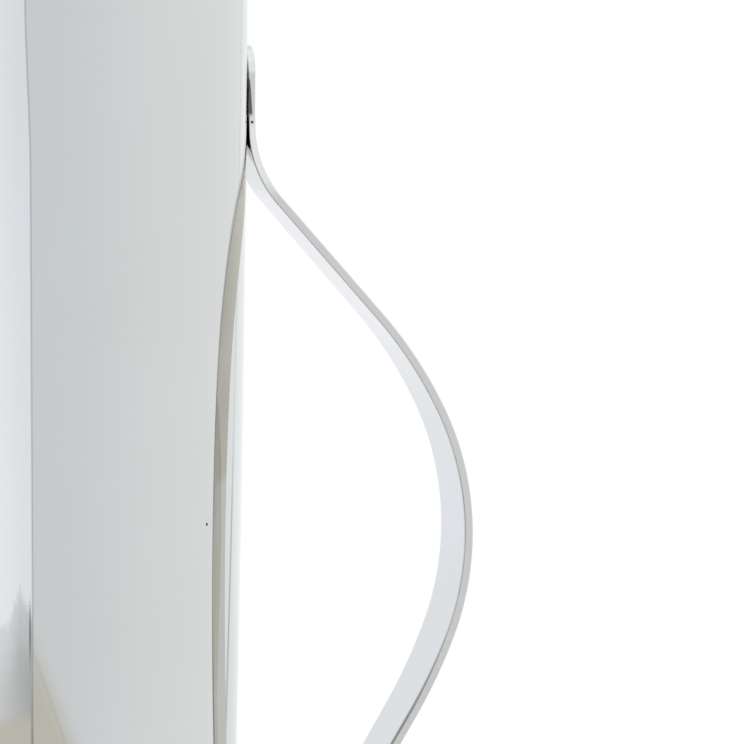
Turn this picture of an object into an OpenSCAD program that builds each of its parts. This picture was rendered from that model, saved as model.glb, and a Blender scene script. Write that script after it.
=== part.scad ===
// Tall ewer in polished sheet steel. It stands on z = 0 with its axis on +Z,
// the strap handle on +X and the pouring spout on -X, alike on both sides of y = 0.

/* [Body] */
// Height of the top of the rim above the table, on the handle side
ewer_h = 300; // [275:1:330]
// Outside diameter of the wall, where its line meets the table
base_d = 71.8; // [65:0.2:78]
// Outside diameter of the wall at the rim
mouth_d = 84.4; // [78:0.2:92]
// Swell of the wall past a straight cone, at half height
wall_swell = 1.25; // [0:0.05:3]
// Thickness of the sheet in the wall and the spout
sheet_t = 1; // [0.8:0.1:1.5]

/* [Spout] */
// How far the beak stands out past the wall at its tip
spout_reach = 27; // [16:1:34]
// Height from the foot of the spout's seam to the rim
spout_h = 66; // [50:1:80]
// Angle round the rim from the beak to the seam
spout_angle = 46; // [36:1:56]
// Rise of the beak's tip above the rim
spout_rise = 8; // [1:0.5:14]
// Power that the beak flares out with, where 1 is straight
spout_flare = 1.55; // [1.2:0.05:2.2]

/* [Rim] */
// Width of the half-round rim wire
rim_w = 3; // [2.4:0.1:4]
// Height of the half-round rim wire
rim_t = 2; // [1.4:0.1:3]

/* [Foot and base] */
// Height of the foot ring under the wall
foot_h = 4; // [3:0.5:7]
// Width of the foot ring inside the wall
foot_w = 4; // [3:0.5:8]
// How far the foot ring stands out past the wall
foot_step = 0.8; // [0.4:0.1:1.4]
// Height of the foot ring's collar inside the wall
collar_h = 3; // [2:0.5:6]
// Thickness of the base
base_t = 1.2; // [0.8:0.1:2]
// Width of the base's flat brim
base_brim = 5; // [4:0.5:9]
// Rise of the base from its brim to its middle
base_dish = 3; // [1:0.5:6]

/* [Handle strap] */
// Share of the spare height, past the strap's own, that lies above the strap
above_share = 0.571; // [0.4:0.001:0.75]
// Width of the strap at its widest
strap_w = 21; // [18:0.5:25]
// Width of the strap at the foot of the upper neck
strap_neck_w = 19; // [16:0.5:21]
// Distance from the foot of the upper neck down to the widest place
strap_wide_drop = 57; // [50:0.5:64]
// Thickness of the strap along the grip
strap_t = 1.6; // [1.3:0.1:2.4]
// Thickness of the strap at its tabs
strap_end_t = 1.3; // [1.1:0.1:2]
// Width of each tab
tab_w = 12; // [10.5:0.1:14]
// Radius of the tabs' rounded ends
strap_corner_r = 5.7; // [2:0.1:6.5]
// Length of each flat tab on the wall
tab_l = 17; // [15:0.1:20]
// Length of the tab's straight sides, from the end to the neck
tab_side_l = 10.2; // [8:0.2:13]
// Length of the neck that widens from the tab to the strap
neck_l = 22.2; // [16:0.2:28]
// Bend radius where the strap leaves the wall
bend_r = 21.6; // [16:0.2:26]
// Angle of the upper run out from vertical
upper_angle = 41; // [36:0.1:45]
// Length of the straight upper run
upper_run = 30.4; // [24:0.2:36]
// Bend radius of the shoulder above the grip
shoulder_r = 84.2; // [72:0.2:100]
// Angle from vertical where the shoulder passes into the crown
shoulder_angle = 25.4; // [22:0.1:30]
// Bend radius of the crown, the outermost part of the grip
crown_r = 56.8; // [48:0.2:66]
// Angle from vertical where the crown passes into the heel
heel_angle = 21.1; // [17:0.1:25]
// Bend radius of the heel under the grip
heel_r = 107.6; // [92:0.2:122]
// Angle of the lower run in from vertical
lower_angle = 30.6; // [26:0.1:36]

/* [Rivets] */
// Diameter of the rivets' shanks
shank_d = 3.2; // [2.6:0.1:4]
// Diameter of the heads inside the wall
head_d = 6.4; // [5.6:0.1:7.5]
// Height of the heads inside the wall
head_h = 1.6; // [1.2:0.1:2.4]
// Depth of the flush countersink in the strap
sink_depth = 0.9; // [0.6:0.05:1]
// Distance between the two rivets of a tab
rivet_pitch = 8; // [7:0.25:9]

/* [Hidden] */

// Room left for solder between the soldered pieces, and round each rivet
solder_gap = 0.05;
rivet_gap = 0.03;
// Gap between the strap's tabs and the wall
seat_gap = 0.04;
// How far cutting shapes run past what they cut
overrun = 2;

steel = [0.80, 0.81, 0.82];
steel_dark = [0.70, 0.71, 0.72];
$fn = 128;

// Number of straight steps in the wall's curve and in the base's dish
wall_steps = 16;
dish_steps = 10;
// Largest turn of one step round the strap's bends and round corners, and the steps of its outline
bend_step_angle = 2;
corner_step_angle = 9;
strap_side_steps = 18;
neck_steps = 9;

// Wall: radius, lean and the top edge of the sheet

rim_z = ewer_h - rim_t - solder_gap;

function wall_r(z) =
    let (up = z / ewer_h)
    base_d / 2 + (mouth_d - base_d) / 2 * up + 4 * wall_swell * up * (1 - up);

function wall_lean(z) =
    atan((mouth_d - base_d) / 2 / ewer_h + 4 * wall_swell / ewer_h * (1 - 2 * z / ewer_h));

function wall_heights() =
    [for (i = [0 : wall_steps]) foot_h + (rim_z - foot_h) * i / wall_steps];

// Spout: a slanting plane cuts the wall, and the spout fills the cut

seam_z = rim_z - spout_h;
seam_foot_x = wall_r(seam_z);
seam_top_x = wall_r(rim_z) * cos(spout_angle);
seam_tilt = atan((seam_foot_x - seam_top_x) / spout_h);
seam_block = ewer_h;
// Sharpness of the beak, as a share of the half angle over which its tip is round
beak_round_share = 0.2;
// Steps round and up the spout, and how far its sheet is made past the seam
spout_turn_steps = 32;
spout_up_steps = 16;
spout_over_angle = 5;
// Small steps for the slopes of the spout's surface
probe_angle = 0.2;
probe_up = 0.2;

function seam_angle(z) =
    let (x = seam_foot_x - (min(z, rim_z) - seam_z) * tan(seam_tilt))
    z <= seam_z ? 0 : acos(min(1, x / wall_r(min(z, rim_z))));

function beak(part) =
    let (soft = beak_round_share, far = sqrt(1 + soft * soft) - soft,
         near = (sqrt(part * part + soft * soft) - soft) / far)
    part >= 1 ? 0 : (1 - near) * (1 - near);

function spout_lift(turn, z) =
    z <= seam_z ? 0 :
    let (up = (z - seam_z) / (spout_h + spout_rise))
    spout_reach * pow(up, spout_flare) * beak(abs(turn) / max(seam_angle(z), probe_angle));

function spout_r(turn, z) = wall_r(z) + spout_lift(turn, z);

// The sheet keeps its thickness square to the surface, so it is wider along the radius on a slope
function spout_in_r(turn, z) =
    let (r = spout_r(turn, z),
         turn_slope = (spout_r(turn + probe_angle, z) - spout_r(turn - probe_angle, z))
                      / (2 * probe_angle * PI / 180) / r,
         up_slope = (spout_r(turn, z + probe_up) - spout_r(turn, z - probe_up)) / (2 * probe_up))
    r - sheet_t * sqrt(1 + turn_slope * turn_slope + up_slope * up_slope);

function spout_top(turn) = rim_z + spout_rise * beak(abs(turn) / spout_angle);

// A turn of 0 faces the beak, on -X
function around(r, turn, z) = [-r * cos(turn), -r * sin(turn), z];

// Foot and base

collar_r = wall_r(foot_h) - sheet_t - solder_gap;
foot_r = wall_r(foot_h) + foot_step;
foot_in_r = collar_r - foot_w;
base_z = foot_h + collar_h;
base_r = wall_r(base_z) - sheet_t - solder_gap;
dish_r = base_r - base_brim;

function corner(x, y, r, from, to) =
    let (steps = ceil(abs(to - from) / corner_step_angle))
    [for (i = [0 : steps])
        let (a = from + (to - from) * i / steps) [x + r * cos(a), y + r * sin(a)]];

// Handle strap: its inner face is a bent line in the plane of the handle.
// A heading is the angle from straight down, positive away from the wall.

function along(heading) = [sin(heading), -cos(heading)];
function out_of(heading) = [cos(heading), sin(heading)];
function bend_move(from, to, r) = (out_of(from) - out_of(to)) * r * sign(to - from);

// Each leg is a straight run, then a bend to a heading, with the thickness at its end
function legs(lower_run, lower_lean) = [
    [tab_l + overrun, upper_angle, bend_r, strap_t],
    [upper_run, shoulder_angle, shoulder_r, strap_t],
    [0, -heel_angle, crown_r, strap_t],
    [0, -lower_angle, heel_r, strap_t],
    [lower_run, -lower_lean, bend_r, strap_end_t]
];

function tab_point(z, lean, up_by) =
    [wall_r(z), z] + out_of(-lean) * seat_gap - along(-lean) * up_by;

function strap_start(top) =
    let (z = top - tab_l / 2)
    tab_point(z, wall_lean(z), tab_l / 2 + overrun);

function legs_end(list, p, heading, i = 0) =
    i == len(list) ? p :
    legs_end(list, p + along(heading) * list[i][0] + bend_move(heading, list[i][1], list[i][2]),
             list[i][1], i + 1);

// The lower run is as long as brings the lower tab on to the wall, and the strap's own height
// then sets how high it sits. Gives the upper end, the lower run and the lower tab's middle.
function strap_fit(top, run, low_z, tries) =
    let (lean = wall_lean(low_z),
         list = legs(run, lean),
         bent = legs_end(list, strap_start(top), -wall_lean(top - tab_l / 2)),
         middle = bent + along(-lean) * tab_l / 2,
         miss = middle[0] - wall_r(middle[1]) - seat_gap,
         tall = top - middle[1] + tab_l / 2)
    tries == 0 ? [top, run, middle[1]] :
    strap_fit(ewer_h - (ewer_h - tall) * above_share, run + miss / sin(lower_angle),
              middle[1], tries - 1);

fit_tries = 20;
strap_found = strap_fit(ewer_h, upper_run, foot_h, fit_tries);
handle_top = strap_found[0];
lower_run = strap_found[1];
lower_tab_z = strap_found[2];
lower_lean = wall_lean(lower_tab_z);
strap_bottom = lower_tab_z - tab_l / 2;
upper_tab_z = handle_top - tab_l / 2;
upper_lean = wall_lean(upper_tab_z);

// Places along the inner face, each with its heading and the strap's thickness there
function leg_places(list, p, heading, thick, i = 0) =
    i == len(list) ? [] :
    let (leg = list[i], q = p + along(heading) * leg[0], turn = leg[1] - heading,
         steps = ceil(abs(turn) / bend_step_angle))
    concat(
        leg[0] > 0 ? [[q, heading, thick]] : [],
        [for (k = [1 : steps])
            let (h = heading + turn * k / steps)
            [q + bend_move(heading, h, leg[2]), h, thick + (leg[3] - thick) * k / steps]],
        leg_places(list, q + bend_move(heading, leg[1], leg[2]), leg[1], leg[3], i + 1));

function strap_places() =
    let (list = legs(lower_run, lower_lean),
         start = strap_start(handle_top),
         bent = leg_places(list, start, -upper_lean, strap_end_t),
         last = bent[len(bent) - 1])
    concat([[start, -upper_lean, strap_end_t]], bent,
           [[last[0] + along(last[1]) * (tab_l + overrun), last[1], last[2]]]);

// Outline of the strap from the front: curved flanks that run on straight lower down,
// drawn in through a neck to the tab at each end
upper_neck_z = handle_top - tab_side_l - neck_l;
lower_neck_z = strap_bottom + tab_side_l + neck_l;
wide_z = upper_neck_z - strap_wide_drop;
flank_straight_share = 0.7;

function flank_half(z) =
    let (far = (wide_z - z) / strap_wide_drop, s = flank_straight_share,
         drop = far < s ? far * far : 2 * s * far - s * s)
    (strap_w - (strap_w - strap_neck_w) * drop) / 2;

function eased(part) = part * part * (3 - 2 * part);

function neck_half(z, share) = tab_w / 2 + (flank_half(z) - tab_w / 2) * eased(share);

// The round of the ends takes at most this share of the tab's half width
end_round_share = 0.95;
strap_end_r = min(strap_corner_r, end_round_share * tab_w / 2);

function strap_flank() =
    let (end_x = tab_w / 2 - strap_end_r, middle_l = upper_neck_z - lower_neck_z)
    concat(
        corner(end_x, strap_bottom + strap_end_r, strap_end_r, -90, 0),
        [for (i = [0 : neck_steps])
            let (share = i / neck_steps, z = lower_neck_z - neck_l * (1 - share))
            [neck_half(z, share), z]],
        [for (i = [1 : strap_side_steps - 1])
            let (z = lower_neck_z + middle_l * i / strap_side_steps) [flank_half(z), z]],
        [for (i = [0 : neck_steps])
            let (share = 1 - i / neck_steps, z = upper_neck_z + neck_l * (1 - share))
            [neck_half(z, share), z]],
        corner(end_x, handle_top - strap_end_r, strap_end_r, 0, 90));

// Rivets: x runs out through the wall, and x = 0 is the wall's outer face
rivet_top = seat_gap + strap_end_t;
sink_r = shank_d / 2 + sink_depth;
head_ball_r = (head_d * head_d / 4 + head_h * head_h) / (2 * head_h);
head_half_angle = asin(head_d / 2 / head_ball_r);

// A flat head seats on the rim of its footprint in the round wall
function head_seat(z) =
    let (inside = wall_r(z) - sheet_t)
    sqrt(inside * inside - head_d * head_d / 4) - wall_r(z) - seat_gap;

module on_tab(z) {
    translate([wall_r(z), 0, z])
        rotate([0, wall_lean(z), 0])
            for (side = [-1, 1])
                translate([0, 0, side * rivet_pitch / 2])
                    rotate([0, 90, 0]) children();
}

module rivets(z) {
    seat = head_seat(z);
    head_mid = seat - head_h + head_ball_r;
    dome = [for (i = [0 : dish_steps])
        let (a = head_half_angle * i / dish_steps)
        [head_ball_r * sin(a), head_mid - head_ball_r * cos(a)]];
    on_tab(z)
        rotate_extrude()
            polygon(concat(dome, [
                [shank_d / 2, seat],
                [shank_d / 2, rivet_top - sink_depth],
                [sink_r, rivet_top],
                [0, rivet_top]]));
}

module rivet_holes(z) {
    on_tab(z)
        translate([0, 0, -sheet_t - overrun])
            cylinder(d = shank_d + 2 * rivet_gap, h = sheet_t + strap_end_t + 2 * overrun);
}

module rivet_sinks(z) {
    on_tab(z)
        translate([0, 0, rivet_top - sink_depth])
            cylinder(r1 = shank_d / 2 + rivet_gap, r2 = sink_r + rivet_gap + overrun,
                     h = sink_depth + overrun);
}

// Everything on the spout's side of the seam
module spout_side() {
    translate([-seam_foot_x, 0, seam_z])
        rotate([0, seam_tilt, 0])
            translate([-seam_block, -seam_block / 2, -seam_block])
                cube([seam_block, seam_block, 2 * seam_block]);
}

module body_shell() {
    color(steel)
        difference() {
            rotate_extrude()
                polygon(concat(
                    [for (z = wall_heights()) [wall_r(z), z]],
                    [for (i = [wall_steps : -1 : 0])
                        let (z = wall_heights()[i]) [wall_r(z) - sheet_t, z]]));
            spout_side();
            rivet_holes(upper_tab_z);
            rivet_holes(lower_tab_z);
        }
}

// Two faces of a patch between rows of points, a corner number at a time
function patch(a, b, c, d) = [[a, b, c], [a, c, d]];

module spout_sheet() {
    turns = [for (j = [0 : spout_turn_steps])
        (spout_angle + spout_over_angle) * (2 * j / spout_turn_steps - 1)];
    low = seam_z - overrun;
    wide = len(turns);
    layer = wide * (spout_up_steps + 1);
    outer = [for (i = [0 : spout_up_steps]) for (turn = turns)
        let (z = low + (spout_top(turn) - low) * i / spout_up_steps)
        around(spout_r(turn, z), turn, z)];
    inner = [for (i = [0 : spout_up_steps]) for (turn = turns)
        let (z = low + (spout_top(turn) - low) * i / spout_up_steps)
        around(spout_in_r(turn, z), turn, z)];
    skins = [for (i = [0 : spout_up_steps - 1]) for (j = [0 : wide - 2])
        let (a = i * wide + j)
        each concat(patch(a, a + wide, a + wide + 1, a + 1),
                    patch(layer + a, layer + a + 1, layer + a + wide + 1, layer + a + wide))];
    edges = [for (j = [0 : wide - 2])
        let (top = spout_up_steps * wide + j)
        each concat(patch(j, j + 1, layer + j + 1, layer + j),
                    patch(top, layer + top, layer + top + 1, top + 1))];
    sides = [for (i = [0 : spout_up_steps - 1])
        let (a = i * wide, b = a + wide - 1)
        each concat(patch(a, layer + a, layer + a + wide, a + wide),
                    patch(b, b + wide, layer + b + wide, layer + b))];
    polyhedron(concat(outer, inner), concat(skins, edges, sides));
}

module spout() {
    color(steel)
        intersection() {
            spout_sheet();
            spout_side();
        }
}

module rim_wire() {
    beak_turns = [for (j = [0 : spout_turn_steps]) spout_angle * (2 * j / spout_turn_steps - 1)];
    back_steps = 2 * spout_turn_steps;
    back_turns = [for (j = [1 : back_steps - 1])
        spout_angle + (360 - 2 * spout_angle) * j / back_steps];
    turns = concat(beak_turns, back_turns);
    function signed(turn) = turn > 180 ? turn - 360 : turn;
    function middle(turn) =
        let (t = signed(turn), z = spout_top(t))
        around((spout_r(t, z) + spout_in_r(t, z)) / 2, t, z + solder_gap);
    function across(turn) =
        let (d = middle(turn + probe_angle) - middle(turn - probe_angle))
        [d[1], -d[0], 0] / norm([d[0], d[1]]);
    section = [for (i = [0 : dish_steps])
        let (a = 180 * i / dish_steps) [rim_w / 2 * cos(a), rim_t * sin(a)]];
    size = len(section);
    count = len(turns);
    points = [for (turn = turns) for (s = section)
        middle(turn) + across(turn) * s[0] + [0, 0, s[1]]];
    faces = [for (i = [0 : count - 1]) for (k = [0 : size - 1])
        let (next = (i + 1) % count, up = (k + 1) % size)
        each patch(i * size + k, next * size + k, next * size + up, i * size + up)];
    color(steel) polyhedron(points, faces);
}

module base_disc() {
    dish = [for (i = [0 : dish_steps])
        let (out = i / dish_steps) [dish_r * out, base_z + base_dish * (1 - out * out)]];
    color(steel_dark)
        rotate_extrude()
            polygon(concat(
                dish,
                [[base_r, base_z], [base_r, base_z + base_t]],
                [for (i = [dish_steps : -1 : 0]) dish[i] + [0, base_t]]));
}

module foot_ring() {
    color(steel)
        rotate_extrude()
            polygon(concat(
                [[foot_in_r, 0]],
                corner(foot_r - foot_step, foot_step, foot_step, -90, 0),
                corner(foot_r - foot_step, foot_h - foot_step, foot_step, 0, 90),
                [[collar_r, foot_h], [collar_r, base_z], [foot_in_r, base_z]]));
}

module handle_strap() {
    places = strap_places();
    flank = strap_flank();
    color(steel_dark)
        difference() {
            intersection() {
                rotate([90, 0, 0])
                    linear_extrude(strap_w + 2 * overrun, center = true)
                        polygon(concat(
                            [for (p = places) p[0]],
                            [for (i = [len(places) - 1 : -1 : 0])
                                let (p = places[i]) p[0] + out_of(p[1]) * p[2]]));
                rotate([90, 0, 90])
                    linear_extrude(ewer_h)
                        polygon(concat(flank, [for (i = [len(flank) - 1 : -1 : 0])
                            [-flank[i][0], flank[i][1]]]));
            }
            rivet_holes(upper_tab_z);
            rivet_holes(lower_tab_z);
            rivet_sinks(upper_tab_z);
            rivet_sinks(lower_tab_z);
        }
}

module upper_rivets() {
    color(steel_dark) rivets(upper_tab_z);
}

module lower_rivets() {
    color(steel_dark) rivets(lower_tab_z);
}

body_shell();
spout();
rim_wire();
base_disc();
foot_ring();
handle_strap();
upper_rivets();
lower_rivets();
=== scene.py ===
"""A tall ewer in polished steel: the finish of every piece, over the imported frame, in metres."""

import math

import bmesh
import bpy
import numpy as np
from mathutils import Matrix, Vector


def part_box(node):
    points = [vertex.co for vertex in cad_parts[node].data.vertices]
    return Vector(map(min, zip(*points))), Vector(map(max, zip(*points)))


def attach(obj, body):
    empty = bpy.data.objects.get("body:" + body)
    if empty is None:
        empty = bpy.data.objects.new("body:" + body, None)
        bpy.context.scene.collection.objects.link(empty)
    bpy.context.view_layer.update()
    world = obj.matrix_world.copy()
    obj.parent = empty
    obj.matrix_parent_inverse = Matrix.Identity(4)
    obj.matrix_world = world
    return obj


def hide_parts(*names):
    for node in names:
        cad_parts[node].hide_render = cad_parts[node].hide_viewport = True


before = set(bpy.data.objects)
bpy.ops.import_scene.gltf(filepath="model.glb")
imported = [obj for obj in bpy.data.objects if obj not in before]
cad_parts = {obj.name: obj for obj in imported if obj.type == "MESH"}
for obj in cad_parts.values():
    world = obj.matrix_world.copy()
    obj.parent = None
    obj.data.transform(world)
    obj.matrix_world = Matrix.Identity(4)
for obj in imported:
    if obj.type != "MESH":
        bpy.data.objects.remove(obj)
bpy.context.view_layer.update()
scene = bpy.context.scene

# Wall
EWER_H = 0.300
BASE_R = 0.0359
MOUTH_R = 0.0422
WALL_SWELL = 0.00125
SHEET_T = 0.001
WALL_COLUMNS = 320
WALL_LOW_ROWS = 48
WALL_END_CROWDING = 0.7

# Spout
SPOUT_REACH = 0.027
SPOUT_H = 0.066
SPOUT_ANGLE = math.radians(46)
SPOUT_RISE = 0.008
SPOUT_FLARE = 1.55
BEAK_ROUND_SHARE = 0.2
SPOUT_ROWS = 48
SPOUT_COLUMNS = 97
SOLDER_LINE_W = 0.0007
SOLDER_START_SHARE = 0.02

# Rim wire
RIM_W = 0.003
RIM_T = 0.002
RIM_BEAK_STEPS = 140
RIM_BACK_STEPS = 260
RIM_SECTION_STEPS = 32

# Foot and base
FOOT_H = 0.004
FOOT_W = 0.004
FOOT_STEP = 0.0008
COLLAR_H = 0.003
BASE_T = 0.0012
BASE_BRIM = 0.005
BASE_DISH = 0.003
TURNED_SEGMENTS = 192
TURNED_EDGE_R = 0.0003
ARC_STEPS = 8
DISH_STEPS = 20

# Handle strap
STRAP_W = 0.021
STRAP_NECK_W = 0.019
STRAP_WIDE_DROP = 0.057
FLANK_STRAIGHT_SHARE = 0.7
STRAP_T = 0.0016
STRAP_END_T = 0.0013
STRAP_CORNER_R = 0.0057
STRAP_EDGE_R = 0.00022
TAB_W = 0.012
TAB_L = 0.017
TAB_SIDE_L = 0.0102
NECK_L = 0.0222
BEND_R = 0.0216
UPPER_ANGLE = math.radians(41)
UPPER_RUN = 0.0304
SHOULDER_R = 0.0842
SHOULDER_ANGLE = math.radians(25.4)
CROWN_R = 0.0568
HEEL_ANGLE = math.radians(21.1)
HEEL_R = 0.1076
LOWER_ANGLE = math.radians(30.6)
STATION_STEP = 0.001
STATION_ANGLE = math.radians(1)
FACE_SHARES = (0.005, 0.06, 0.3, 0.5, 0.7, 0.995)
SIDE_SHARES = (0.06, 0.5, 0.94)
CORNER_STEPS = 6
CORNER_START = math.radians(25)

# Filed relief on one inner corner of the upper tab; its dark colour is a painted dark reflection
RELIEF_TOP_Z = 0.2459
RELIEF_FOOT_Z = 0.2388
RELIEF_W = 0.00073
RELIEF_STEP = 0.00015
RELIEF_SHARES = (0, 0.04, 0.25, 0.5, 0.75, 0.96, 1)
# Pit at the relief's foot, drawn only as a painted shade in the strap's colour
PIT_Z = 0.23748
PIT_R = 0.00036

# Inner corner of the strap on the same side, buffed rounder down its lower run, and darkened by a painted
# dark reflection, at half strength above and full strength down its lower run
BUFFED_R = 0.0006
BUFFED_TOP_Z = 0.136
BUFFED_FOOT_Z = 0.118
# Strength of the painted dark reflection on that corner, above and down the lower run
PAINTED_CORNER_REFLECTION = (0.5, 1.0)

# Tips of the tabs, pressed towards the round wall
TIP_PRESS = 0.95
TIP_PRESS_L = 0.0085

# Rivets
SHANK_D = 0.0032
HEAD_D = 0.0064
HEAD_H = 0.0016
SINK_DEPTH = 0.0009
RIVET_PITCH = 0.008
RIVET_PROUD = 0.00004
RIVET_BEVEL = 0.00008
RIVET_SEGMENTS = 64

# Gaps that solder fills, and the gap under the strap's tabs
SOLDER_GAP = 0.00005
SEAT_GAP = 0.00004
MERGE_GAP = 0.000002
PROBE_ANGLE = math.radians(0.2)
PROBE_UP = 0.0002

RIM_Z = EWER_H - RIM_T - SOLDER_GAP
SEAM_Z = RIM_Z - SPOUT_H


# Shape of the vessel

def wall_r(z):
    up = z / EWER_H
    return BASE_R + (MOUTH_R - BASE_R) * up + 4 * WALL_SWELL * up * (1 - up)


def wall_lean(z):
    return math.atan((MOUTH_R - BASE_R) / EWER_H + 4 * WALL_SWELL / EWER_H * (1 - 2 * z / EWER_H))


SEAM_FOOT_R = wall_r(SEAM_Z)
SEAM_SLOPE = (SEAM_FOOT_R - wall_r(RIM_Z) * math.cos(SPOUT_ANGLE)) / SPOUT_H


def seam_angle(z):
    """Turn from the beak to the seam, where a slanting plane cuts the round wall."""
    z = np.clip(z, SEAM_Z, RIM_Z)
    across = SEAM_FOOT_R - (z - SEAM_Z) * SEAM_SLOPE
    return np.arccos(np.minimum(1, across / wall_r(z)))


def beak(part):
    """Height of the beak's round ridge at a share of the way from its tip to the seam."""
    far = math.sqrt(1 + BEAK_ROUND_SHARE ** 2) - BEAK_ROUND_SHARE
    near = (np.sqrt(np.square(part) + BEAK_ROUND_SHARE ** 2) - BEAK_ROUND_SHARE) / far
    return np.square(1 - np.minimum(near, 1))


def spout_r(turn, z):
    up = np.clip((z - SEAM_Z) / (SPOUT_H + SPOUT_RISE), 0, None)
    part = np.abs(turn) / np.maximum(seam_angle(z), PROBE_ANGLE)
    return wall_r(z) + SPOUT_REACH * up ** SPOUT_FLARE * beak(part)


def spout_top(turn):
    return RIM_Z + SPOUT_RISE * beak(np.abs(turn) / SPOUT_ANGLE)


def around(r, turn, z):
    """Points at a turn from the beak, which faces -X."""
    return np.stack([-r * np.cos(turn), -r * np.sin(turn), z], axis=-1)


# Mesh helpers

def new_object(name, points, faces=(), edges=()):
    mesh = bpy.data.meshes.new(name)
    mesh.from_pydata([tuple(p) for p in points], list(edges), list(faces))
    piece = bpy.data.objects.new(name, mesh)
    scene.collection.objects.link(piece)
    return piece


def grid_faces(rows, columns):
    return [(i * columns + j, i * columns + j + 1, (i + 1) * columns + j + 1, (i + 1) * columns + j)
            for i in range(rows - 1) for j in range(columns - 1)]


def add_mask(piece, name, values):
    mask = piece.data.attributes.new(name, "FLOAT", "POINT")
    mask.data.foreach_set("value", np.asarray(values, dtype=np.float32))


def finish_mesh(piece, material=None):
    """Closes seams and poles, turns the faces outwards and shades them smooth."""
    shape = bmesh.new()
    shape.from_mesh(piece.data)
    bmesh.ops.remove_doubles(shape, verts=shape.verts, dist=MERGE_GAP)
    loose = [edge for edge in shape.edges if not edge.link_faces]
    bmesh.ops.delete(shape, geom=loose, context="EDGES")
    bmesh.ops.recalc_face_normals(shape, faces=shape.faces)
    for face in shape.faces:
        face.smooth = True
    shape.to_mesh(piece.data)
    shape.free()
    if material:
        piece.data.materials.append(material)


def face_outwards(piece):
    """Turns an open sheet round the axis so that its faces point away from the axis."""
    shape = bmesh.new()
    shape.from_mesh(piece.data)
    shape.normal_update()
    outward = sum(f.normal.dot(Vector((*f.calc_center_median().xy, 0))) for f in shape.faces)
    if outward < 0:
        bmesh.ops.reverse_faces(shape, faces=shape.faces)
    shape.to_mesh(piece.data)
    shape.free()


def keep_result(piece):
    """Makes the result of a piece's modifier its plain mesh."""
    evaluated = piece.evaluated_get(bpy.context.evaluated_depsgraph_get())
    mesh = bpy.data.meshes.new_from_object(evaluated)
    piece.modifiers.clear()
    piece.data = mesh


def thicken(piece, thickness):
    """Gives a sheet round the axis its thickness, and marks its inner face."""
    sheet = piece.modifiers.new("sheet", "SOLIDIFY")
    sheet.thickness = thickness
    sheet.offset = -1
    sheet.use_even_offset = True
    keep_result(piece)
    inward = [point.normal.xy.dot(point.co.xy) < 0 for point in piece.data.vertices]
    add_mask(piece, "inner", inward)


def arc(centre, radius, start, end, steps=ARC_STEPS):
    """Points on an arc in a flat outline, from one angle in degrees to another."""
    angles = np.radians(np.linspace(start, end, steps + 1))
    return [(centre[0] + radius * math.cos(a), centre[1] + radius * math.sin(a)) for a in angles]


# Node helpers

class Field:
    """A number in a node tree. Sums and products of fields add Math nodes to the tree."""

    def __init__(self, socket):
        self.socket = socket
        self.tree = socket.id_data

    def __add__(self, other):
        return work_out("ADD", self, other)

    def __radd__(self, other):
        return work_out("ADD", other, self)

    def __sub__(self, other):
        return work_out("SUBTRACT", self, other)

    def __rsub__(self, other):
        return work_out("SUBTRACT", other, self)

    def __mul__(self, other):
        return work_out("MULTIPLY", self, other)

    def __rmul__(self, other):
        return work_out("MULTIPLY", other, self)

    def __truediv__(self, other):
        return work_out("DIVIDE", self, other)


def plug(value, socket):
    """Links a field or an output to a socket, or sets a plain value on it."""
    if isinstance(value, Field):
        value = value.socket
    if isinstance(value, bpy.types.NodeSocket):
        socket.id_data.links.new(value, socket)
    else:
        socket.default_value = value


def work_out(operation, *terms):
    tree = next(term.tree for term in terms if isinstance(term, Field))
    node = tree.nodes.new("ShaderNodeMath")
    node.operation = operation
    for term, socket in zip(terms, node.inputs):
        plug(term, socket)
    return Field(node.outputs[0])


def fade(value, start, end, smooth=True):
    """0 at the start, 1 at the end, held outside them."""
    node = value.tree.nodes.new("ShaderNodeMapRange")
    node.interpolation_type = "SMOOTHSTEP" if smooth else "LINEAR"
    plug(value, node.inputs["Value"])
    plug(start, node.inputs["From Min"])
    plug(end, node.inputs["From Max"])
    return Field(node.outputs["Result"])


def between(factor, low, high):
    """A number that runs from low to high with the factor."""
    return low + factor * (high - low)


def add_node(tree, kind, inputs=(), **settings):
    """Adds a node, and sets or links its inputs by name or number."""
    node = tree.nodes.new(kind)
    for name, value in settings.items():
        setattr(node, name, value)
    for name, value in dict(inputs).items():
        plug(value, node.inputs[name])
    return node


def mix_colour(tree, factor, first, second):
    mixed = add_node(tree, "ShaderNodeMix", {0: factor, 6: first, 7: second}, data_type="RGBA")
    return mixed.outputs[2]


def parts_of(tree, vector):
    """The x, y and z of a vector."""
    return [Field(socket) for socket in add_node(tree, "ShaderNodeSeparateXYZ", {0: vector}).outputs]


def vector_of(tree, x=0.0, y=0.0, z=0.0):
    """A vector from its x, y and z."""
    return add_node(tree, "ShaderNodeCombineXYZ", {"X": x, "Y": y, "Z": z}).outputs[0]


def noise(tree, place, scale, detail, rough=0.5):
    """A cloudy value from 0 to 1."""
    cloud = add_node(tree, "ShaderNodeTexNoise",
                     {"Vector": place, "Scale": scale, "Detail": detail, "Roughness": rough})
    return Field(cloud.outputs["Fac"])


def tree_sockets(tree, kind, sockets):
    """Gives a tree its named inputs or outputs."""
    for name, socket_type in sockets.items():
        tree.interface.new_socket(name=name, in_out=kind, socket_type="NodeSocket" + socket_type)


def new_tree(name, kind, inputs, outputs):
    """A node group with named sockets: the tree, its inputs by name, and its output node."""
    tree = bpy.data.node_groups.new(name, kind)
    tree_sockets(tree, "INPUT", inputs)
    tree_sockets(tree, "OUTPUT", outputs)
    source = tree.nodes.new("NodeGroupInput")
    values = {s.name: Field(s) for s in source.outputs if s.name in inputs}
    return tree, values, tree.nodes.new("NodeGroupOutput")


def position_of(tree):
    return tree.nodes.new("GeometryNodeInputPosition").outputs[0]


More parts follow.
